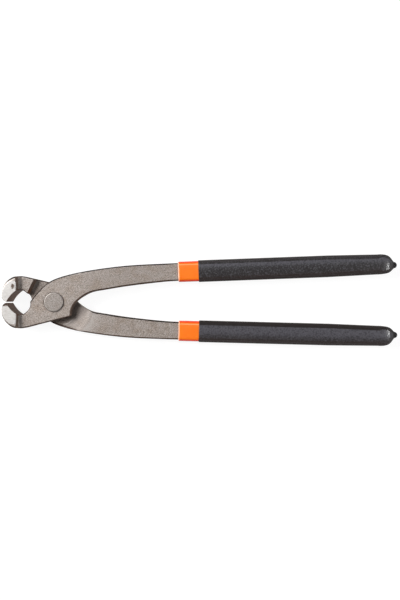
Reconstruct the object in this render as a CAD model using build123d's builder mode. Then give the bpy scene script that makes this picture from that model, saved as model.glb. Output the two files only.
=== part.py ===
from build123d import *
from math import acos, atan2, cos, hypot, radians, sin
import os

# Rebar tying pliers: two equal forged halves crossed on one rivet, handles dipped twice.
# Millimetres. +X runs from the jaws to the handles and +Z up along the rivet. The origin is
# under the middle of the tool, on the plane that its jaws lie on.

# Whole tool
overall_length = 280.0
cut_overrun = 1.0

# Jaws, measured from the rivet and from the tool's centre line
jaw_reach = 35.9
edge_setback = 3.2
jaw_gap = 0.7
jaw_width = 22.0
jaw_depth = 18.5
jaw_back_radius = 14.0
jaw_back_rounding = 2.2
cheek_share = 0.546
cheek_fillet = 3.0
hollow_depth_share = 0.555

# Grinding of the nose, in front of the cutting edge
grind_stock = 1.7
grind_radius = 14.4
grind_height = 4.9
grind_exit_angle = 62.0

# Lap joint
lap_radius = 16.5
lap_clearance = 0.1
head_thickness = 12.0
lap_corner_rounding = 2.0
lap_rise_angle = 54.5
crotch_drop_angle = 84.3
ramp_run = 13.0
ramp_ease = 5.5
ramp_crest_rise = 0.05
step_margin = 2.5
step_angle = 26.2
step_draft = 0.9
step_fillet = 2.0

# Steel handles, measured from the rivet and from the tool's centre line
forged_rounding = 1.0
collar_start = 88.0
collar_offset = 20.95
handle_angle = 1.81
taper_run = 49.1
taper_end_angle = 1.8
bar_width = 12.5
bar_end_width = 11.0
bar_thickness = 7.6
bar_end_thickness = 7.0
bar_end_rounding = 5.0

# Rivet
rivet_diameter = 8.0
rivet_head_diameter = 14.0
rivet_head_height = 1.2
rivet_rim_rounding = 1.0
rivet_running_clearance = 0.05
rivet_seat_clearance = 0.02
rivet_end_play = 0.03
spot_face_margin = 0.3
spot_face_depth = 0.15

# Dipped covers
inner_dip = 1.0
outer_dip = 0.45
dip_lip_share = 0.8
dip_corner_share = 1.7
inner_crown_share = 0.02
outer_crown_share = 0.06
collar_length = 14.5
tip_run = 8.8
tip_build_up = 3.3
nub_radius = 2.3
nub_offset = 0.85

# Points of the forging's outline: along, then away from the centre line
hollow_shares = [(0.84, 0.47), (0.66, 0.8), (0.435, 1.0), (0.205, 0.82), (0.045, 0.5)]
lap_back_shares = [(-0.71, 0.4), (-0.218, 0.85), (0.255, 1.06)]
outer_edge_shares = [(0.136, 0.722), (0.286, 0.816), (0.481, 0.904), (0.674, 0.958), (0.868, 0.985)]
inner_edge_shares = [(0.868, 0.945), (0.674, 0.82), (0.481, 0.66), (0.383, 0.563), (0.286, 0.435)]
crotch_shares = [(1.22, 0.215), (0.988, 0.036), (0.824, -0.17), (0.745, -0.364)]
lap_left_shares = (-1.02, 0.018)
lap_corner_shares = (0.715, -0.62)

# Sections of the second coat's tip: how far along it, how much is left of the size over the
# nub's, and how round the corners are
tip_shares = [
    (0, 1, 0.5),
    (0.3, 0.93, 0.55),
    (0.5, 0.82, 0.65),
    (0.71, 0.58, 0.8),
    (0.91, 0.18, 0.94),
    (1, 0, 0.98),
]

# Sections of the first coat's tip: how far along it, its width and its thickness, and how round
# the corners are. Each tip's loft starts a little before the tip, so that it leaves the bar flush.
inner_tip_shares = [
    (0, 1, 1, 0.5),
    (0.42, 0.89, 0.94, 0.6),
    (0.72, 0.68, 0.84, 0.7),
    (1, 0.3, 0.56, 0.85),
]
tip_lead_share = 0.3
corner_limit_share = 0.98

# Places that follow from the sizes above
pivot = (jaw_reach - overall_length / 2, 0, jaw_width / 2)
tool_end = overall_length - jaw_reach
nub_centre = tool_end - nub_radius
bar_end = nub_centre - tip_build_up
taper_start = tool_end - taper_run
outer_dip_start = collar_start + collar_length
edge_reach = jaw_reach - edge_setback
cheek_start = jaw_reach - (jaw_reach - lap_radius) * cheek_share
step_distance = lap_radius + step_margin
lap_half = head_thickness / 2
lap_face = lap_clearance / 2
rivet_radius = rivet_diameter / 2
rivet_head_radius = rivet_head_diameter / 2
cutting_tip = (-edge_reach, -jaw_gap / 2)

front_frame = Plane(origin=pivot, x_dir=(1, 0, 0), z_dir=(0, 0, 1))
rear_frame = Plane(origin=pivot, x_dir=(1, 0, 0), z_dir=(0, 0, -1))


def scaled(shares, length, height):
    """Outline points from shares of a length and a height."""
    return [(length * along, height * away) for along, away in shares]


def heading(angle):
    """The direction at an angle from the way along the tool."""
    return (cos(radians(angle)), sin(radians(angle)))


def turned(frame, angle):
    """The frame turned about its own Z, so that both halves turn alike."""
    x_dir = frame.x_dir * cos(radians(angle)) + frame.y_dir * sin(radians(angle))
    return Plane(origin=frame.origin, x_dir=x_dir, z_dir=frame.z_dir)


def side_plane(frame):
    """The plane along the frame's X and Z, for profiles seen from the tool's side."""
    return Plane(origin=frame.origin, x_dir=frame.x_dir, z_dir=-frame.y_dir)


def handle_point(reach, away=0):
    """A point by the straight handle: how far from the rivet along X, and how far off its middle."""
    slope = radians(handle_angle)
    along = (reach - collar_start) / cos(slope)
    return (
        collar_start + along * cos(slope) - away * sin(slope),
        collar_offset + along * sin(slope) + away * cos(slope),
    )


def handle_plane(frame, reach, away=0):
    """The plane square across the straight handle at a reach from the rivet."""
    x, y = handle_point(reach, away)
    line = turned(frame, handle_angle)
    return Plane(origin=frame.from_local_coords((x, y, 0)), x_dir=line.y_dir, z_dir=line.x_dir)


def bar_width_at(reach):
    """Width of the steel bar under the grip: even at first, then narrowing to its end."""
    narrowing = max(0, reach - taper_start) / (bar_end - taper_start)
    return bar_width + (bar_end_width - bar_width) * narrowing


def bar_thickness_at(reach):
    """Thickness of the steel bar under the grip."""
    along = (reach - collar_start) / (bar_end - collar_start)
    return bar_thickness + (bar_end_thickness - bar_thickness) * along


def forging_plan():
    """Plan of one forged half, from the jaw's cutting edge round the lap to the end of the bar."""
    lap_left = scaled([lap_left_shares], lap_radius, lap_radius)[0]
    corner = scaled([lap_corner_shares], lap_radius, lap_radius)[0]
    hollow_length = edge_reach + lap_left[0]
    hollow_depth = hollow_length * hollow_depth_share
    hollow = [(lap_left[0] - hollow_length * along, -hollow_depth * away) for along, away in hollow_shares]
    outer_collar = handle_point(collar_start, bar_width / 2)
    inner_collar = handle_point(collar_start, -bar_width / 2)
    outer_end = handle_point(bar_end, bar_end_width / 2)
    inner_end = handle_point(bar_end, -bar_end_width / 2)

    # The jaw's back is an arc, and the edge from the lap's corner runs on to it as a tangent
    centre = (jaw_back_radius - jaw_reach - grind_stock, jaw_back_radius - jaw_depth)
    reach = hypot(corner[0] - centre[0], corner[1] - centre[1])
    bearing = atan2(corner[1] - centre[1], corner[0] - centre[0])
    touch = bearing - acos(jaw_back_radius / reach)
    back_foot = (centre[0] + jaw_back_radius * cos(touch), centre[1] + jaw_back_radius * sin(touch))
    half_chord = (jaw_back_radius**2 - (cutting_tip[1] - centre[1]) ** 2) ** 0.5
    back_top = (centre[0] - half_chord, cutting_tip[1])

    with BuildSketch() as plan:
        with BuildLine():
            Spline(cutting_tip, *hollow, lap_left)
            Spline(
                lap_left,
                *scaled(lap_back_shares, lap_radius, lap_radius),
                *scaled(outer_edge_shares, collar_start, outer_collar[1]),
                outer_collar,
                tangents=[heading(lap_rise_angle), heading(handle_angle)],
            )
            Spline(
                outer_collar,
                handle_point(taper_start, bar_width / 2),
                outer_end,
                tangents=[heading(handle_angle), heading(handle_angle - taper_end_angle)],
            )
            Line(outer_end, inner_end)
            Spline(
                inner_end,
                handle_point(taper_start, -bar_width / 2),
                inner_collar,
                tangents=[heading(handle_angle + taper_end_angle + 180), heading(handle_angle + 180)],
            )
            Spline(
                inner_collar,
                *scaled(inner_edge_shares, collar_start, inner_collar[1]),
                *scaled(crotch_shares, lap_radius, lap_radius),
                corner,
                tangents=[heading(handle_angle + 180), heading(crotch_drop_angle + 180)],
            )
            Line(corner, back_foot)
            RadiusArc(back_foot, back_top, jaw_back_radius)
            Line(back_top, cutting_tip)
        make_face()
        fillet(plan.vertices().sort_by(Axis.X)[-2:], bar_end_rounding)
        fillet(plan.vertices().sort_by_distance(corner)[0], lap_corner_rounding)
    return plan.sketch


def half_profile(leave, join):
    """One side of the forging seen edge on: jaw, lap as thick as the head, and a curve down to the bar."""
    jaw_half = jaw_width / 2
    neck = cheek_fillet - cheek_start
    end = (tool_end, bar_thickness_at(tool_end) / 2)
    bar_slope = (end[0] - join[0], end[1] - join[1])
    with BuildSketch() as half:
        with BuildLine():
            Polyline(
                (-tool_end, 0),
                (-tool_end, jaw_half),
                (-cheek_start, jaw_half),
                (-cheek_start, lap_half + cheek_fillet),
            )
            RadiusArc((-cheek_start, lap_half + cheek_fillet), (neck, lap_half), -cheek_fillet)
            Line((neck, lap_half), leave)
            Spline(leave, join, tangents=[heading(0), bar_slope])
            Polyline(join, end, (tool_end, 0), (-tool_end, 0))
        make_face()
    return half.sketch


def side_profile():
    """The forging seen edge on: it thins slowly on the head's side, and at once on the lap's side."""
    collar = (collar_start, bar_thickness / 2)
    ramp_foot = (lap_radius, bar_thickness_at(lap_radius) / 2)
    with BuildSketch() as profile:
        add(half_profile((lap_radius, lap_half), collar))
        mirror(half_profile((0, lap_half), ramp_foot), about=Plane.XZ)
    return profile.sketch


def nose_grinding():
    """Plan of what the grinder takes off the nose, outside the arcs that lead to the cutting edge."""
    nose = (-jaw_reach, -grind_height)
    turn = radians(grind_exit_angle)
    centre = (grind_radius - jaw_reach, -grind_height)
    leave = (centre[0] - grind_radius * cos(turn), centre[1] - grind_radius * sin(turn))
    clear = -jaw_reach - grind_radius
    with BuildSketch() as waste:
        with BuildLine():
            TangentArc(nose, cutting_tip, tangent=(0, 1))
            Polyline(
                cutting_tip,
                (-edge_reach, cut_overrun),
                (clear, cut_overrun),
                (clear, -jaw_depth - cut_overrun),
                (leave[0], -jaw_depth - cut_overrun),
                leave,
            )
            RadiusArc(leave, nose, grind_radius)
        make_face()
    return waste.sketch


def lap_pocket(frame):
    """Room for the other half: turned round the rivet with a ramp, and stopped by a step at the jaw."""
    below = -lap_half - cut_overrun
    ramp_end = lap_radius + ramp_run
    crest = -bar_thickness_at(ramp_end) / 2 - ramp_crest_rise
    with BuildPart() as pocket:
        with BuildSketch(side_plane(frame)):
            with BuildLine():
                Line((0, lap_face), (lap_radius, lap_face))
                Bezier(
                    (lap_radius, lap_face),
                    (lap_radius + ramp_ease, lap_face),
                    (ramp_end - ramp_ease, crest),
                    (ramp_end, crest),
                )
                Polyline((ramp_end, crest), (ramp_end, below), (0, below), (0, lap_face))
            make_face()
        revolve(axis=Axis(frame.origin, frame.z_dir))
        with BuildSketch(side_plane(turned(frame, step_angle))) as step:
            with BuildLine():
                Polyline(
                    (-step_distance, lap_face),
                    (-step_distance - step_draft, -lap_half),
                    (-step_distance - step_draft, below),
                    (ramp_end + cut_overrun, below),
                    (ramp_end + cut_overrun, lap_face),
                    close=True,
                )
            make_face()
            fillet(step.vertices().sort_by_distance((-step_distance, lap_face))[0], step_fillet)
        extrude(amount=ramp_end + cut_overrun, both=True, mode=Mode.INTERSECT)
    return pocket.part


def make_arm(frame, hole_clearance):
    """One forged half: plan and side profile crossed, edges rounded, nose ground, lap and hole cut."""
    with BuildPart() as arm:
        with BuildSketch(frame):
            add(forging_plan())
        extrude(amount=jaw_width / 2, both=True)
        with BuildSketch(side_plane(frame)):
            add(side_profile())
        extrude(amount=overall_length, both=True, mode=Mode.INTERSECT)

        # The jaw's back is rounded more than the edges of the lap and the bar
        flats = arm.faces().filter_by(Axis.Z).sort_by(Axis.Z)
        cheeks = ShapeList([flats[0], flats[-1]])
        fillet(cheeks.edges().filter_by(GeomType.CIRCLE), jaw_back_rounding)
        flats = arm.faces().filter_by(Axis.Z).sort_by(Axis.Z)
        fillet(flats[1:-1].edges().filter_by(Axis.Y, reverse=True), forged_rounding)

        with BuildSketch(frame):
            add(nose_grinding())
        extrude(amount=jaw_width, both=True, mode=Mode.SUBTRACT)
        add(lap_pocket(frame), mode=Mode.SUBTRACT)
        with Locations(frame.offset(lap_half).location):
            CounterBoreHole(
                radius=rivet_radius + hole_clearance,
                counter_bore_radius=rivet_head_radius + spot_face_margin,
                counter_bore_depth=spot_face_depth,
            )
    return arm


def make_rivet(frame):
    """Shank with a low, flat head on each side of the tool, its rim rounded."""
    seat = lap_half - spot_face_depth + rivet_end_play
    top = lap_half + rivet_head_height
    with BuildPart() as rivet:
        with BuildSketch(side_plane(frame)) as half:
            with BuildLine():
                Polyline(
                    (0, 0),
                    (rivet_radius, 0),
                    (rivet_radius, seat),
                    (rivet_head_radius, seat),
                    (rivet_head_radius, top),
                    (0, top),
                    close=True,
                )
            make_face()
            fillet(half.vertices().sort_by_distance((rivet_head_radius, top))[0], rivet_rim_rounding)
            mirror(about=Plane.XZ)
        revolve(axis=Axis(frame.origin, frame.z_dir))
    return rivet


def crowned_section(width, thickness, corner, crown_share):
    """A section of a dip coat: a rounded rectangle whose wide faces bulge a little over the thickness."""
    side = thickness / 2
    top = side + thickness * crown_share
    with BuildSketch() as section:
        with BuildLine():
            ThreePointArc((-width / 2, side), (0, top), (width / 2, side))
            Line((width / 2, side), (width / 2, -side))
            ThreePointArc((width / 2, -side), (0, -top), (-width / 2, -side))
            Line((-width / 2, -side), (-width / 2, side))
        make_face()
        fillet(section.vertices(), min(corner, side * corner_limit_share))
    return section.sketch


def dip_solid(frame, start, cover, crown_share, tip_start, tip_end, tip_sizes):
    """A dip coat as if it were solid: even over the bar, then closing in along its tip."""
    corner = forged_rounding + cover * dip_corner_share
    tip_lead = tip_start - (tip_end - tip_start) * tip_lead_share
    with BuildPart() as dip:
        for reach in (start, taper_start, tip_lead):
            width = bar_width_at(reach) + 2 * cover
            thickness = bar_thickness_at(reach) + 2 * cover
            with BuildSketch(handle_plane(frame, reach)):
                add(crowned_section(width, thickness, corner, crown_share))
        loft(ruled=True)
        with BuildSketch(handle_plane(frame, tip_lead)):
            add(crowned_section(width, thickness, corner, crown_share))
        for along, width, thickness, roundness, shift in tip_sizes:
            with BuildSketch(handle_plane(frame, tip_start + (tip_end - tip_start) * along, -shift)):
                add(crowned_section(width, thickness, min(width, thickness) / 2 * roundness, crown_share))
        loft()
    return dip.part


def inner_dip_solid(frame):
    """Outer form of the first coat: it wraps the rounded end of the bar."""
    tip_start = bar_end - bar_end_rounding
    width = bar_width_at(tip_start) + 2 * inner_dip
    thickness = bar_thickness_at(tip_start) + 2 * inner_dip
    tip_sizes = [
        (along, width * wide, thickness * thick, round_share, 0)
        for along, wide, thick, round_share in inner_tip_shares
    ]
    tip_end = bar_end + inner_dip
    return dip_solid(frame, collar_start, inner_dip, inner_crown_share, tip_start, tip_end, tip_sizes)


def outer_dip_solid(frame):
    """Outer form of the second coat: a pointed dome that ends in the drip's nub."""
    tip_start = nub_centre - tip_run
    cover = inner_dip + outer_dip
    width = bar_width_at(tip_start) + 2 * cover
    thickness = bar_thickness_at(tip_start) + 2 * cover
    nub = 2 * nub_radius
    tip_sizes = [
        (
            along,
            nub + (width - nub) * left,
            nub + (thickness - nub) * left,
            round_share,
            nub_offset * (1 - left),
        )
        for along, left, round_share in tip_shares
    ]
    return dip_solid(frame, outer_dip_start, cover, outer_crown_share, tip_start, nub_centre, tip_sizes)


def make_inner_sleeve(frame, arm):
    """First dip coat: a thin sock over the whole grip, shut round the end of the bar."""
    with BuildPart() as dip:
        add(inner_dip_solid(frame))
        lip = dip.faces().sort_by(Axis.X)[0]
        fillet(lip.edges(), inner_dip * dip_lip_share)
        add(arm.part, mode=Mode.SUBTRACT)
    return dip


def make_grip(frame):
    """Second dip coat over the first, with the drip left at its end."""
    with BuildPart() as dip:
        add(outer_dip_solid(frame))
        lip = dip.faces().sort_by(Axis.X)[0]
        fillet(lip.edges(), outer_dip * dip_lip_share)
        with Locations(handle_plane(frame, nub_centre, -nub_offset).location):
            Sphere(nub_radius)
        add(inner_dip_solid(frame), mode=Mode.SUBTRACT)
    return dip


front_jaw_arm = make_arm(front_frame, rivet_running_clearance)
rear_jaw_arm = make_arm(rear_frame, rivet_seat_clearance)
rivet = make_rivet(rear_frame)
front_inner_sleeve = make_inner_sleeve(front_frame, front_jaw_arm)
rear_inner_sleeve = make_inner_sleeve(rear_frame, rear_jaw_arm)
front_grip = make_grip(front_frame)
rear_grip = make_grip(rear_frame)

pieces = {
    "front_jaw_arm": front_jaw_arm,
    "rear_jaw_arm": rear_jaw_arm,
    "rivet": rivet,
    "front_inner_sleeve": front_inner_sleeve,
    "rear_inner_sleeve": rear_inner_sleeve,
    "front_grip": front_grip,
    "rear_grip": rear_grip,
}
os.makedirs("parts", exist_ok=True)
for name, piece in pieces.items():
    piece.part.label = name
    export_step(piece.part, f"parts/{name}.step")
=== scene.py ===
"""Rebar tying pliers lying on a pale floor, seen from straight above under soft studio light.

Lengths are in metres, but for those in the tool's own materials, which are in millimetres on the
tool at rest. A pair there is where a stretch or a smooth change begins and ends, or what it goes
from and to."""

import math

import bpy
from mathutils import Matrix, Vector


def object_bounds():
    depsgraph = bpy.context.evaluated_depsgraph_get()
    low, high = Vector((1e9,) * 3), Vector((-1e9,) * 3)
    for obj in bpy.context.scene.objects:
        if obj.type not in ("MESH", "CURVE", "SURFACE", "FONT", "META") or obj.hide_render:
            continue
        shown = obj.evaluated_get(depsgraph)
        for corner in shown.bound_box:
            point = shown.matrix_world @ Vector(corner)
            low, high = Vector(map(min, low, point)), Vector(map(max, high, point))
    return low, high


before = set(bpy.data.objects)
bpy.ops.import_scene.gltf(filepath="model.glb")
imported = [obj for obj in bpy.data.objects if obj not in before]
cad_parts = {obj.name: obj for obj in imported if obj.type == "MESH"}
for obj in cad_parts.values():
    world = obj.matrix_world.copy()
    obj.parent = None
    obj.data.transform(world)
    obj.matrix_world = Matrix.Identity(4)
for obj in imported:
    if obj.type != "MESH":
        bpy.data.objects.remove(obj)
cad_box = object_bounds()

MM = 0.001
# Height of the plane in which the two halves lie face to face
MIDDLE = (cad_box[0][2] + cad_box[1][2]) / 2


def srgb(red, green, blue):
    """Linear colour of an sRGB colour in steps of 0 to 255."""
    steps = [c / 255 for c in (red, green, blue)]
    return tuple(((c + 0.055) / 1.055) ** 2.4 if c > 0.04045 else c / 12.92 for c in steps) + (1.0,)


class Nodes:
    """Adds shader nodes to a tree. A value is a number, a vector, a colour or a node's output."""

    def __init__(self, tree):
        self.tree = tree

    def feed(self, socket, value):
        """Links an input to an output, or sets it."""
        if isinstance(value, bpy.types.NodeSocket):
            self.tree.links.new(value, socket)
        else:
            socket.default_value = value

    def add(self, kind, inputs=(), **settings):
        """A node with its settings, and its inputs given by name or number."""
        made = self.tree.nodes.new(kind)
        for name, value in settings.items():
            setattr(made, name, value)
        for socket, value in dict(inputs).items():
            self.feed(made.inputs[socket], value)
        return made

    def number(self, operation, *values):
        """A number worked out from others."""
        return self.add("ShaderNodeMath", enumerate(values), operation=operation).outputs[0]

    def vector(self, operation, *values):
        """A vector worked out from others."""
        return self.add("ShaderNodeVectorMath", enumerate(values), operation=operation).outputs[0]

    def measure(self, operation, *values):
        """A number worked out from vectors, such as a length."""
        return self.add("ShaderNodeVectorMath", enumerate(values), operation=operation).outputs["Value"]

    def product(self, first, *others):
        """All the values multiplied."""
        for other in others:
            first = self.number("MULTIPLY", first, other)
        return first

    def most(self, first, *others):
        """The greatest of the values."""
        for other in others:
            first = self.number("MAXIMUM", first, other)
        return first

    def rest_of(self, share):
        """What a share leaves of 1."""
        return self.number("SUBTRACT", 1.0, share)

    def step(self, value, low, high, start=0.0, end=1.0):
        """A smooth step from start at low to end at high."""
        inputs = {"Value": value, "From Min": low, "From Max": high, "To Min": start, "To Max": end}
        return self.add("ShaderNodeMapRange", inputs, interpolation_type="SMOOTHSTEP").outputs[0]

    def fade(self, value, low, high, start=1.0):
        """A smooth step from start at low to 0 at high."""
        return self.step(value, low, high, start, 0.0)

    def within(self, value, low, high, soft):
        """1 where the value lies between low and high, with soft ends."""
        above = self.step(value, low - soft, low + soft)
        return self.product(above, self.fade(value, high - soft, high + soft))

    def mixed(self, share, first, second):
        """Colour first where share is 0, and second where it is 1."""
        made = self.add("ShaderNodeMix", data_type="RGBA")
        sockets = {socket.identifier: socket for socket in [*made.inputs, *made.outputs]}
        self.feed(sockets["Factor_Float"], share)
        self.feed(sockets["A_Color"], first)
        self.feed(sockets["B_Color"], second)
        return sockets["Result_Color"]


class Surface(Nodes):
    """A new material, and where a point of the part at rest lies and how its surface faces.

    level is 1 where the surface faces straight up or down and 0 where it is upright, and rise is
    how far the point lies from the middle plane."""

    def __init__(self, name):
        self.material = bpy.data.materials.new(name)
        self.material.use_nodes = True
        super().__init__(self.material.node_tree)
        self.shader = self.tree.nodes["Principled BSDF"]
        source = self.add("ShaderNodeTexCoord").outputs
        self.place = self.vector("MULTIPLY", source["Object"], (1 / MM,) * 3)
        self.x, self.y, self.z = self.parts(self.place)
        self.normal = source["Normal"]
        self.normal_x, self.normal_y, self.normal_z = self.parts(self.normal)
        self.level = self.number("ABSOLUTE", self.normal_z)
        self.rise = self.number("ABSOLUTE", self.number("SUBTRACT", self.z, MIDDLE / MM))

    def parts(self, vector):
        """X, Y and Z of a vector."""
        return self.add("ShaderNodeSeparateXYZ", {0: vector}).outputs

    def give(self, name, value):
        """Sets or links one of the shader's inputs."""
        self.feed(self.shader.inputs[name], value)

    def noise(self, scale, detail, roughness, place=None):
        """Noise from 0 to 1, with about that many waves to a millimetre."""
        place = self.place if place is None else place
        inputs = {"Vector": place, "Scale": scale, "Detail": detail, "Roughness": roughness}
        return self.add("ShaderNodeTexNoise", inputs).outputs["Fac"]

    def wander(self, scale, reach):
        """A vector that wanders about zero, by up to half the reach in each direction."""
        made = self.add("ShaderNodeTexNoise", {"Vector": self.place, "Scale": scale, "Detail": 2.0})
        centred = self.vector("SUBTRACT", made.outputs["Color"], (0.5,) * 3)
        return self.vector("MULTIPLY", (reach,) * 3, centred)

    def spot(self, place, centre, size):
        """1 round a centre, falling to 0 on the ellipsoid of that half size."""
        away = self.vector("DIVIDE", self.vector("SUBTRACT", place, centre), size)
        return self.fade(self.measure("LENGTH", away), 0.45, 1.0)

    def bump(self, height, depth, strength=1.0, below=None):
        """Normal of a height map that is worth a depth, on top of the one below."""
        inputs = {"Height": height, "Distance": depth * MM, "Strength": strength}
        if below is not None:
            inputs["Normal"] = below
        return self.add("ShaderNodeBump", inputs).outputs[0]


# Forged steel near the lap, by the distance from the pivot and by side, which forged_steel explains
PIVOT = (-104.1, 0.0, 0.0)
RAMP_REACH = (16.2, 30.0)
RAMP_SIDE = (-6.0, -3.0)
RAMP_END_SOFT = 0.3
# Share of painted shade on the ramp, which faces the key light
RAMP_SHADE_SHARE = 0.36
# Painted shade near the lap, deeper beside the ramp
LAP_SHADE_REACH = (15.0, 23.0)
LAP_SHADE_RISE = (2.6, 3.6)
LAP_SHADE_FURTHER_FROM = (-14.0, -4.0)
LAP_SHADE_FURTHER = 4.5
LAP_SHADE_THINS = (-3.0, 3.0)
LAP_SHADE_SHARES = (0.6, 0.15)
# A pale painted highlight on the ramp's end and the bar behind it
BAR_HIGHLIGHT_FROM = (28.0, 29.0)
BAR_HIGHLIGHT_FADE = (28.5, 37.0)
BAR_HIGHLIGHT_SHARE = 0.45

# Ground cheeks and nose
HALF_WIDTH = 11.0
CHEEK_TOP = (HALF_WIDTH - 0.09, HALF_WIDTH - 0.02)
CHEEK_END = -129.4
CHEEK_RIM = (CHEEK_END - 1.6, CHEEK_END - 1.2)
CHEEK_RIM_DROP = 0.25
CHEEK_CORNER_X = -132.0
CHEEK_CORNER_Y = 12.7
CHEEK_CORNER_RADIUS = 2.6
CHEEK_CORNER_SOFT = 0.15
NOSE_END = -132.4
NOSE_ACROSS = (6.5, 10.0)
PIT = {"centre": (-132.0, 11.3, 22.0), "size": (1.5, 2.3, 3.0)}
DARK_TIP_PATCH = {"centre": (-137.6, -1.4, 22.0), "size": (2.8, 1.8, 3.0)}
SMUDGE_SCALE = 0.9
SMUDGE_REACH = 2.6

# The jaws behind the cheeks, where the painted shade on a rounding starts below a level that rises
# towards the lap
CHEEK_FOOT = (CHEEK_END - 0.1, -125.6)
CHEEK_FOOT_SOFT = 0.2
EDGE_LEVELS = (0.88, 0.955)
EDGE_LEVEL_SOFT = 0.03
EDGE_LEVEL_RISE = (CHEEK_END, CHEEK_END + 2.0)
HOLLOW_EDGE_ACROSS = (11.0, 13.0)
HOLLOW_EDGE_DELAY = 8.0
HOLLOW_ALONG = (-137.2, -120.5)
HOLLOW_ACROSS = (-9.4, 9.4)
HOLLOW_SOFT = 0.3
JAW_FLAT_END = (-121.0, -117.0)
JAW_FLAT_SHARE = 0.15

# Straight stretches of the outline, on which |y| + slope * x is the same, with painted shade just inside
JAW_BACK = {"slope": 0.245, "outline": -12.37, "inside": (0.9, 0.5), "along": (-127.0, -107.0)}
RAMP_EDGE = {"slope": -0.3365, "outline": 50.4, "inside": (1.1, 0.7), "along": (-107.0, -84.0)}
EDGE_SHADE_END_SOFT = 1.0

STEEL_FACE = srgb(149, 139, 132)
STEEL_BROWN_FACE = srgb(134, 119, 107)
STEEL_DARK_GRAIN = srgb(95, 84, 75)
STEEL_PALE_GRAIN = srgb(211, 202, 195)
STEEL_JAW_FLAT = srgb(120, 112, 108)
# Painted shade on the ramp
STEEL_RAMP_SHADE = srgb(100, 97, 96)
# A pale painted highlight on the ramp's end and the bar behind it
STEEL_BAR_HIGHLIGHT = srgb(188, 182, 178)
# A pale painted highlight on edges towards +Y
STEEL_EDGE_HIGHLIGHT = srgb(226, 219, 213)
# Painted shade on roundings: darkest towards +Y, lighter towards +X
STEEL_ROUNDING_SHADE = srgb(64, 46, 35)
STEEL_FAR_ROUNDING_SHADE = srgb(34, 23, 17)
STEEL_REAR_ROUNDING_SHADE = srgb(114, 94, 81)
STEEL_WALL = srgb(118, 102, 92)
STEEL_HOLLOW = srgb(118, 88, 70)
# Painted shade near the lap
LAP_SHADE = srgb(70, 55, 46)
# Painted shade in lines just inside the outline
EDGE_SHADE = srgb(58, 44, 36)
GROUND = srgb(208, 205, 202)
GROUND_LINE = srgb(184, 180, 176)
GROUND_DULL = srgb(160, 150, 142)
PIT_FLOOR = srgb(96, 82, 72)
DARK_TIP_FACE = srgb(74, 60, 52)


def steel_faces(s, grain, fine, blotches):
    """Light faces, browner in soft blotches and duller on the jaws, with dark and pale grain."""
    colour = s.mixed(s.step(blotches, 0.4, 0.68), STEEL_FACE, STEEL_BROWN_FACE)
    colour = s.mixed(s.fade(s.x, *JAW_FLAT_END, start=JAW_FLAT_SHARE), colour, STEEL_JAW_FLAT)
    colour = s.mixed(s.step(grain, 0.45, 0.66, end=0.85), colour, STEEL_DARK_GRAIN)
    return s.mixed(s.fade(fine, 0.35, 0.55, start=0.6), colour, STEEL_PALE_GRAIN)


def steel_walls(s):
    """Roundings painted dark brown as shade, darkest towards +Y and lighter towards the handles, and
    paler walls.
    """
    colour = s.mixed(s.step(s.normal_y, -0.3, 0.3), STEEL_ROUNDING_SHADE, STEEL_FAR_ROUNDING_SHADE)
    colour = s.mixed(s.step(s.normal_x, 0.1, 0.5), colour, STEEL_REAR_ROUNDING_SHADE)
    return s.mixed(s.step(s.level, 0.1, 0.35), STEEL_WALL, colour)


def ground_steel(s, blotches):
    """Bright steel with fine lines along the tool, a pit in the upper cheek and a dark patch on the
    lower tip.
    """
    drawn_out = s.vector("MULTIPLY", s.place, (0.35, 3.5, 0.35))
    lines = s.noise(scale=1.6, detail=3.0, roughness=0.6, place=drawn_out)
    colour = s.mixed(s.step(lines, 0.3, 0.7), GROUND, GROUND_LINE)
    colour = s.mixed(s.step(blotches, 0.5, 0.75, end=0.4), colour, GROUND_DULL)
    smudged = s.vector("ADD", s.place, s.wander(SMUDGE_SCALE, SMUDGE_REACH))
    colour = s.mixed(s.spot(smudged, **PIT), colour, PIT_FLOOR)
    return s.mixed(s.spot(smudged, **DARK_TIP_PATCH), colour, DARK_TIP_FACE)


def from_pivot(s):
    """How far a point lies from the rivet's axis, and in which direction."""
    arm = s.vector("MULTIPLY", s.vector("SUBTRACT", s.place, PIVOT), (1, 1, 0))
    return s.measure("LENGTH", arm), s.vector("NORMALIZE", arm)


def on_lap_shade(s, reach, side):
    """Share of the painted shade near the lap, which is deeper beside a ramp and wider elsewhere."""
    further = s.step(side, *LAP_SHADE_FURTHER_FROM, end=LAP_SHADE_FURTHER)
    deepest = s.step(side, *LAP_SHADE_THINS, *LAP_SHADE_SHARES)
    shaded = s.fade(s.number("SUBTRACT", reach, further), *LAP_SHADE_REACH, start=deepest)
    return s.product(s.fade(s.rise, *LAP_SHADE_RISE), shaded)


def on_ramp(s, reach, away):
    """Share of the curved ramp that rises round the other half, without its outer edge."""
    inward = s.measure("DOT_PRODUCT", away, s.normal)
    outward = s.product(s.number("SIGN", s.y), s.normal_y)
    return s.product(
        s.within(reach, *RAMP_REACH, soft=RAMP_END_SOFT),
        s.fade(inward, -0.16, -0.04),
        s.step(s.level, 0.6, 0.75),
        s.fade(outward, 0.05, 0.17),
    )


def on_bar_highlight(s, reach, side):
    """Share of the end of the ramp and the bar just behind it, which get a pale painted highlight."""
    return s.product(
        s.fade(reach, *BAR_HIGHLIGHT_FADE, start=BAR_HIGHLIGHT_SHARE),
        s.fade(side, *RAMP_SIDE),
        s.step(reach, *BAR_HIGHLIGHT_FROM),
    )


def on_edge_highlight(s, ramp):
    """Share of the start of a rounding towards +Y, which gets a pale painted highlight, but for the
    ramp.
    """
    crest = s.within(s.level, 0.98, 0.997, soft=0.005)
    return s.product(crest, s.step(s.normal_y, 0.04, 0.1, end=0.8), s.rest_of(ramp))


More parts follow.
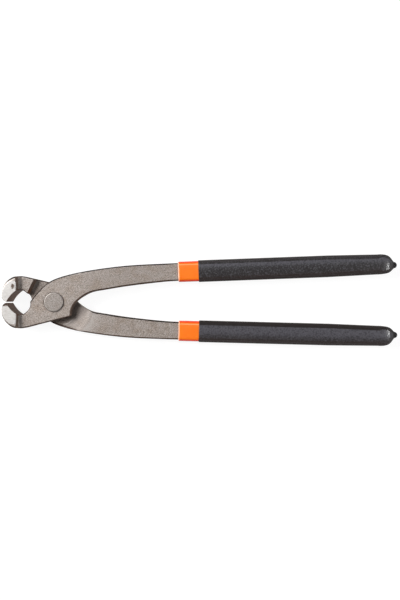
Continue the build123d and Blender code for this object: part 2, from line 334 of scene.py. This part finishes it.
def on_edge_shade(s, across, slope, outline, inside, along):
    """Share of a line of painted shade just inside a straight stretch of the outline."""
    outer = s.number("MULTIPLY_ADD", s.x, slope, across)
    line = s.step(outer, outline - inside[0], outline - inside[1])
    return s.product(line, s.within(s.x, *along, soft=EDGE_SHADE_END_SOFT))


def on_face(s, across, ramp):
    """Share of the faces, the ramp and the foot of the cheek step, and not of walls, nor of roundings,
    which take painted shade.

    Behind the cheeks a rounding takes painted shade where it is still nearly level, and beside the
    hollow only from further back."""
    foot = s.product(
        s.within(s.x, *CHEEK_FOOT, soft=CHEEK_FOOT_SOFT),
        s.step(s.level, 0.25, 0.7),
        s.fade(s.number("ABSOLUTE", s.normal_y), 0.2, 0.35),
    )
    delay = s.fade(across, *HOLLOW_EDGE_ACROSS, start=HOLLOW_EDGE_DELAY)
    dark_below = s.step(s.number("SUBTRACT", s.x, delay), *EDGE_LEVEL_RISE, *EDGE_LEVELS)
    flat = s.step(s.level, dark_below, s.number("ADD", dark_below, EDGE_LEVEL_SOFT))
    return s.most(ramp, flat, foot)


def on_hollow(s):
    """Share of the upright walls of the hollow between the jaws."""
    along = s.within(s.x, *HOLLOW_ALONG, soft=HOLLOW_SOFT)
    across = s.within(s.y, *HOLLOW_ACROSS, soft=HOLLOW_SOFT)
    return s.product(along, across, s.fade(s.level, 0.3, 0.6))


def on_cheek(s, across):
    """Share of the cheeks, which are ground flat, and a little deeper at the rim, to a round corner."""
    height = s.number("ADD", s.rise, s.step(s.x, *CHEEK_RIM, end=CHEEK_RIM_DROP))
    past_corner = {
        "X": s.most(s.number("SUBTRACT", s.x, CHEEK_CORNER_X), 0.0),
        "Y": s.most(s.number("SUBTRACT", across, CHEEK_CORNER_Y), 0.0),
    }
    from_corner = s.measure("LENGTH", s.add("ShaderNodeCombineXYZ", past_corner).outputs[0])
    inner = CHEEK_CORNER_RADIUS - CHEEK_CORNER_SOFT
    outer = CHEEK_CORNER_RADIUS + CHEEK_CORNER_SOFT
    return s.product(s.step(height, *CHEEK_TOP), s.fade(from_corner, inner, outer))


def on_nose(s, across):
    """Share of the nose that is ground in front of the cutting edge."""
    in_front = s.number("LESS_THAN", s.x, NOSE_END)
    return s.product(in_front, s.step(s.normal_x, -0.3, -0.5), s.fade(across, *NOSE_ACROSS))


def forged_steel():
    """Sandblasted forging: grainy grey-brown faces, brown walls, edges painted dark as shade, ground
    cheeks and nose, with painted shade and highlights about the lap and the ramp.

    across is the distance from the tool's middle line. side is y where a face looks up and -y where
    it looks down, so both halves have it alike, as one is the other turned over, and the ramp of
    each half lies where it is below 0."""
    s = Surface("forged_steel")
    grain = s.noise(scale=1.5, detail=3.0, roughness=0.65)
    fine = s.noise(scale=3.2, detail=2.0, roughness=0.6)
    blotches = s.noise(scale=0.13, detail=4.0, roughness=0.6)
    reach, away = from_pivot(s)
    across = s.number("ABSOLUTE", s.y)
    side = s.product(s.y, s.normal_z)
    ramp = on_ramp(s, reach, away)
    face = on_face(s, across, ramp)
    hollow = on_hollow(s)
    ground = s.most(on_cheek(s, across), on_nose(s, across))
    # Painted shade in a line along the ramp's outer edge
    ramp_edge_shade = s.product(on_edge_shade(s, across, **RAMP_EDGE), s.fade(side, *RAMP_SIDE))

    faces = steel_faces(s, grain, fine, blotches)
    # Painted shade near the lap
    faces = s.mixed(on_lap_shade(s, reach, side), faces, LAP_SHADE)
    # A pale painted highlight on the ramp's end and the bar behind it
    faces = s.mixed(on_bar_highlight(s, reach, side), faces, STEEL_BAR_HIGHLIGHT)
    # Painted shade darkens the ramp, which faces the key light
    faces = s.mixed(s.product(ramp, RAMP_SHADE_SHARE), faces, STEEL_RAMP_SHADE)
    # A pale painted highlight on edges towards +Y
    faces = s.mixed(on_edge_highlight(s, ramp), faces, STEEL_EDGE_HIGHLIGHT)
    # Painted shade in lines inside the jaw's back and the ramp's edge
    faces = s.mixed(on_edge_shade(s, across, **JAW_BACK), faces, EDGE_SHADE)
    faces = s.mixed(ramp_edge_shade, faces, EDGE_SHADE)
    # Roundings take painted shade from steel_walls
    colour = s.mixed(face, steel_walls(s), faces)
    colour = s.mixed(hollow, colour, STEEL_HOLLOW)
    s.give("Base Color", s.mixed(ground, colour, ground_steel(s, blotches)))

    # Ground steel is the most metallic and smooth, faces less so, and walls are rough and dull
    clean = s.product(face, s.rest_of(hollow))
    s.give("Metallic", s.most(s.step(clean, 0, 1, end=0.4), s.product(ground, 0.6)))
    s.give("Specular IOR Level", 0.3)
    blasted = s.step(grain, 0.2, 0.8, start=0.5, end=0.64)
    smoother = s.number("SUBTRACT", blasted, s.product(ground, 0.12))
    rougher = s.fade(s.most(clean, ground), 0, 1, start=0.1)
    s.give("Roughness", s.number("ADD", smoother, rougher))
    strength = s.rest_of(s.product(ground, 0.8))
    coarse_relief = s.bump(grain, depth=0.07, strength=strength)
    s.give("Normal", s.bump(fine, depth=0.05, strength=strength, below=coarse_relief))
    return s.material


RIVET_FACE = srgb(157, 149, 143)
RIVET_BROWN_FACE = srgb(146, 135, 127)
RIVET_DARK_GRAIN = srgb(104, 95, 88)
RIVET_PALE_GRAIN = srgb(184, 177, 171)
# A pale painted highlight on the rounding, and painted shade down the rim
RIVET_ROUNDING_HIGHLIGHT = srgb(164, 157, 151)
RIVET_RIM_SHADE = srgb(124, 114, 113)


def rivet_steel():
    """Satin steel of the rivet's heads, with a pale painted highlight on their rounding and painted
    shade down their rim.
    """
    s = Surface("rivet_steel")
    grain = s.noise(scale=1.6, detail=3.0, roughness=0.6)
    patches = s.noise(scale=0.35, detail=3.0, roughness=0.6)
    colour = s.mixed(s.step(patches, 0.35, 0.7), RIVET_FACE, RIVET_BROWN_FACE)
    colour = s.mixed(s.step(grain, 0.42, 0.68, end=0.9), colour, RIVET_DARK_GRAIN)
    colour = s.mixed(s.fade(grain, 0.3, 0.5, start=0.7), colour, RIVET_PALE_GRAIN)
    # A pale painted highlight on the rounding, and painted shade down the rim
    colour = s.mixed(s.within(s.level, 0.86, 0.985, soft=0.03), colour, RIVET_ROUNDING_HIGHLIGHT)
    s.give("Base Color", s.mixed(s.step(s.level, 0.4, 0.8), RIVET_RIM_SHADE, colour))
    s.give("Metallic", 0.45)
    s.give("Roughness", s.step(grain, 0.2, 0.8, start=0.42, end=0.56))
    s.give("Normal", s.bump(grain, depth=0.03))
    return s.material


ORANGE = srgb(255, 126, 30)
ORANGE_DEEP = srgb(255, 121, 27)
# Painted shade on the sides, and pale painted highlights
ORANGE_SIDE_SHADE = srgb(252, 68, 8)
ORANGE_HIGHLIGHT = srgb(255, 172, 110)
ORANGE_LIP_HIGHLIGHT = srgb(255, 206, 170)


def orange_dip():
    """Glossy dipped skin, with painted shade making its sides redder, and a pale painted highlight at
    its thin lip and in a stripe towards +Y.
    """
    s = Surface("orange_dip")
    waves = s.noise(scale=0.22, detail=2.0, roughness=0.4)
    skin = s.noise(scale=1.2, detail=2.0, roughness=0.5)
    colour = s.mixed(s.step(waves, 0.3, 0.7), ORANGE, ORANGE_DEEP)
    # Painted shade makes the sides redder, and pale painted highlights lie in a stripe towards +Y and on
    # the lip
    colour = s.mixed(s.within(s.level, 0.25, 0.86, soft=0.1), colour, ORANGE_SIDE_SHADE)
    colour = s.mixed(s.within(s.normal_y, 0.04, 0.24, soft=0.03), colour, ORANGE_HIGHLIGHT)
    lip = s.product(s.step(s.normal_x, -0.1, -0.4), s.step(s.level, 0.3, 0.6))
    s.give("Base Color", s.mixed(lip, colour, ORANGE_LIP_HIGHLIGHT))
    s.give("Roughness", 0.35)
    s.give("Specular IOR Level", 0.3)
    s.give("Coat Weight", 0.4)
    s.give("Coat Roughness", 0.14)
    soft_waves = s.bump(waves, depth=0.25, strength=0.5)
    s.give("Normal", s.bump(skin, depth=0.02, strength=0.6, below=soft_waves))
    return s.material


# The grips, along the tool: their glossier cap, the round end with painted shade and the duller nub
GRIP_CAP = (131.5, 134.0)
GRIP_ROUND_END = (133.5, 137.0)
GRIP_NUB = (135.8, 137.2)

BLACK = srgb(40, 37, 38)
BLACK_CLOUD = srgb(46, 43, 44)
# A pale painted highlight along the crown
BLACK_HIGHLIGHT = srgb(74, 72, 78)
BLACK_PALE_GRAIN = srgb(86, 84, 89)
BLACK_DARK_GRAIN = srgb(30, 27, 28)
# Painted shade on the sides and the round end
BLACK_NEAR_SHADE = srgb(50, 38, 34)
BLACK_FAR_SHADE = srgb(27, 20, 18)
BLACK_SIDE_SHADE = srgb(36, 26, 23)
BLACK_END_SHADE = srgb(13, 11, 12)


def black_dip(name, stripe, far_shade):
    """Dipped skin with a fine orange-peel grain and a clear sheen on top, with painted shade down its
    sides and on its round end.

    Its crown has a pale painted highlight along a stripe, given by how far the surface faces +Y there,
    and painted shade makes its side towards -Y a little browner and its side towards +Y browner by a
    share of far_shade."""
    s = Surface(name)
    grain = s.noise(scale=1.0, detail=3.0, roughness=0.65)
    fine = s.noise(scale=2.2, detail=2.0, roughness=0.6)
    cloud = s.noise(scale=0.1, detail=3.0, roughness=0.5)
    colour = s.mixed(s.step(cloud, 0.3, 0.7), BLACK, BLACK_CLOUD)
    # A pale painted highlight along the crown's stripe
    colour = s.mixed(s.within(s.normal_y, *stripe, soft=0.045), colour, BLACK_HIGHLIGHT)
    colour = s.mixed(s.step(grain, 0.48, 0.68, end=0.6), colour, BLACK_PALE_GRAIN)
    colour = s.mixed(s.fade(grain, 0.34, 0.5, start=0.6), colour, BLACK_DARK_GRAIN)
    # Painted shade towards -Y and +Y, down the sides and on the round end
    colour = s.mixed(s.fade(s.normal_y, -0.16, -0.02, start=0.5), colour, BLACK_NEAR_SHADE)
    colour = s.mixed(s.step(s.normal_y, 0.08, 0.2, end=far_shade), colour, BLACK_FAR_SHADE)
    colour = s.mixed(s.step(s.level, 0.3, 0.9), BLACK_SIDE_SHADE, colour)
    s.give("Base Color", s.mixed(s.step(s.x, *GRIP_ROUND_END, end=0.9), colour, BLACK_END_SHADE))
    s.give("Roughness", s.step(grain, 0.25, 0.75, start=0.5, end=0.62))
    s.give("Specular IOR Level", 0.2)
    sheen = s.product(
        s.step(s.level, 0.7, 0.9, start=0.03),
        s.step(s.x, *GRIP_NUB, start=1.0, end=0.1),
        s.step(s.x, *GRIP_CAP, start=0.65),
    )
    s.give("Coat Weight", sheen)
    s.give("Coat Roughness", 0.27)
    peel = s.bump(grain, depth=0.12, strength=0.7)
    s.give("Normal", s.bump(fine, depth=0.05, strength=0.7, below=peel))
    s.give("Coat Normal", s.bump(grain, depth=0.004, strength=0.2))
    return s.material


def dress(node_name, material):
    """Gives a node of the frame its material."""
    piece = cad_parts[node_name]
    piece.data.materials.clear()
    piece.data.materials.append(material)


WHITE = (1.0, 1.0, 1.0, 1.0)
FLOOR_HALF = 3.0
FLOOR_HEIGHT = -0.05 * MM
FLOOR_GREY = (0.8, 0.8, 0.8, 1.0)

# The floor as the camera sees it: a dark grey that takes a shadow, under a glow that grows outwards
FLOOR_SEEN_GREY = (0.16, 0.16, 0.16, 1.0)
FLOOR_GLOW_GROWTH = (0.3, 1.5)
FLOOR_GLOW = (0.92, 1.0)

# The room's even light, and where its wall ends, as the sine of the height above the horizon
ROOM_LIGHT = 0.06
WALL_TOP = (0.34, 0.5)


def sees_background(nodes):
    """1 for rays from the camera and for those that metal or gloss sends on, and 0 for the rest."""
    path = nodes.add("ShaderNodeLightPath").outputs
    return nodes.most(path["Is Camera Ray"], path["Is Glossy Ray"], path["Is Transmission Ray"])


def floor_material():
    """Matt pale grey that the camera, metal and gloss see lifted to white, with a faint shadow."""
    made = bpy.data.materials.new("floor")
    made.use_nodes = True
    tree = made.node_tree
    tree.nodes.remove(tree.nodes["Principled BSDF"])
    nodes = Nodes(tree)
    seen = sees_background(nodes)
    matt = nodes.add("ShaderNodeBsdfDiffuse", {"Color": nodes.mixed(seen, FLOOR_GREY, FLOOR_SEEN_GREY)})
    away = nodes.measure("LENGTH", nodes.add("ShaderNodeTexCoord").outputs["Object"])
    strength = nodes.product(seen, nodes.step(away, *FLOOR_GLOW_GROWTH, *FLOOR_GLOW))
    glow = nodes.add("ShaderNodeEmission", {"Color": WHITE, "Strength": strength})
    both = nodes.add("ShaderNodeAddShader", {0: matt.outputs[0], 1: glow.outputs[0]})
    nodes.feed(tree.nodes["Material Output"].inputs["Surface"], both.outputs[0])
    return made


def make_floor():
    """A plain square floor just under the jaws."""
    ends = (-FLOOR_HALF, FLOOR_HALF)
    corners = [(x, y, FLOOR_HEIGHT) for y in ends for x in ends]
    mesh = bpy.data.meshes.new("floor")
    mesh.from_pydata(corners, [], [(0, 1, 3, 2)])
    mesh.materials.append(floor_material())
    floor = bpy.data.objects.new("floor", mesh)
    bpy.context.scene.collection.objects.link(floor)


def make_world():
    """A dim even room whose wall, all round the floor, is white to the camera and in metal and gloss."""
    world = bpy.data.worlds.new("room")
    world.use_nodes = True
    world.node_tree.nodes.clear()
    nodes = Nodes(world.node_tree)
    direction = nodes.add("ShaderNodeTexCoord").outputs["Generated"]
    up = nodes.add("ShaderNodeSeparateXYZ", {0: direction}).outputs["Z"]
    wall = nodes.product(sees_background(nodes), nodes.fade(up, *WALL_TOP), 1 - ROOM_LIGHT)
    strength = nodes.number("ADD", wall, ROOM_LIGHT)
    room = nodes.add("ShaderNodeBackground", {"Color": WHITE, "Strength": strength})
    nodes.add("ShaderNodeOutputWorld", {"Surface": room.outputs[0]})
    bpy.context.scene.world = world


# A key light from the jaws' side, a long weak strip overhead, and a small light past the grips
KEY = {"place": (-0.96, 0.45, 1.02), "aim": (-0.02, 0, 0), "size": (0.8, 0.8), "power": 26.0}
STRIP = {"place": (0, 0.33, 1.6), "aim": (0, 0, 0), "size": (1.5, 0.12), "power": 1.6}
STRIP_COLOUR = (0.88, 0.93, 1.0)
END_LIGHT = {"place": (0.521, 0, 0.544), "aim": (0.133, 0, 0.016), "size": (0.03, 0.14), "power": 1.3}


def soft_box(name, place, aim, size, power, colour=(1, 1, 1)):
    """A rectangular studio lamp that faces a point."""
    lamp = bpy.data.lights.new(name, "AREA")
    lamp.shape = "RECTANGLE"
    lamp.size, lamp.size_y = size
    lamp.energy = power
    lamp.color = colour
    holder = bpy.data.objects.new(name, lamp)
    holder.location = place
    holder.rotation_euler = (Vector(aim) - Vector(place)).to_track_quat("-Z", "Y").to_euler()
    bpy.context.scene.collection.objects.link(holder)


# The camera, straight above the tool and turned a little against it
IMAGE_HEIGHT_PX = 600
PIXEL_SIZE = 0.7144 * MM
CAMERA_DISTANCE = 569.0 * MM
CAMERA_X = -0.69 * MM
CAMERA_Y = 0.84 * MM
CAMERA_ROLL = math.radians(0.34)
CLIP_START = 0.01
CLIP_END = 20
SENSOR_MM = 36.0


def make_camera():
    """The camera, with the lens that gives a pixel its size in the tool's middle plane."""
    data = bpy.data.cameras.new("camera")
    data.sensor_width = SENSOR_MM
    data.lens = SENSOR_MM * CAMERA_DISTANCE / (IMAGE_HEIGHT_PX * PIXEL_SIZE)
    data.clip_start = CLIP_START
    data.clip_end = CLIP_END
    camera = bpy.data.objects.new("camera", data)
    camera.location = (CAMERA_X, CAMERA_Y, MIDDLE + CAMERA_DISTANCE)
    camera.rotation_euler = (0, 0, -CAMERA_ROLL)
    bpy.context.scene.collection.objects.link(camera)
    bpy.context.scene.camera = camera


steel = forged_steel()
orange = orange_dip()
for half in ("front", "rear"):
    dress(f"{half}_jaw_arm", steel)
    dress(f"{half}_inner_sleeve", orange)
dress("front_grip", black_dip("front_black_dip", stripe=(0.045, 0.12), far_shade=0.2))
dress("rear_grip", black_dip("rear_black_dip", stripe=(-0.045, 0.09), far_shade=0.9))
dress("rivet", rivet_steel())
make_floor()
make_world()
soft_box("key", **KEY)
soft_box("strip", **STRIP, colour=STRIP_COLOUR)
soft_box("end_light", **END_LIGHT)
make_camera()
bpy.context.scene.view_settings.view_transform = "Standard"
